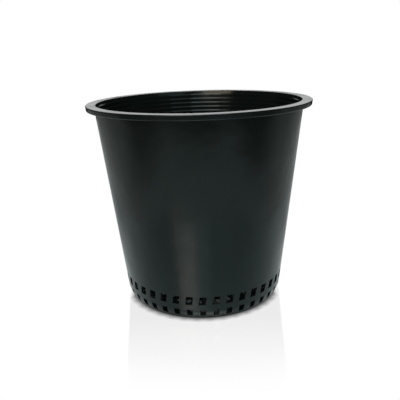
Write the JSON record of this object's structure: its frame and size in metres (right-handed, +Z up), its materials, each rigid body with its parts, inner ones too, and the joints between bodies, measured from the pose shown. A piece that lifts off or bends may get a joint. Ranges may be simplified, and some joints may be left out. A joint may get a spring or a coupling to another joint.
{
  "type": "mesh bottom pot",
  "caption": "Tapered round plastic growing pot with a flanged rim and turned-down lip, openings around its foot, and a slotted mesh floor.",
  "frame": {"origin": "on the pot's axis, in the plane it stands on", "axes": "+Z up along the pot's axis; +X and +Y level, with a column of wall openings on each"},
  "size_m": [0.2536, 0.2538, 0.228],
  "materials": {
    "pot": "glossy black moulded polypropylene"
  },
  "bodies": {
    "root": {"mesh_bottom_pot": "pot"}
  },
  "joints": []
}
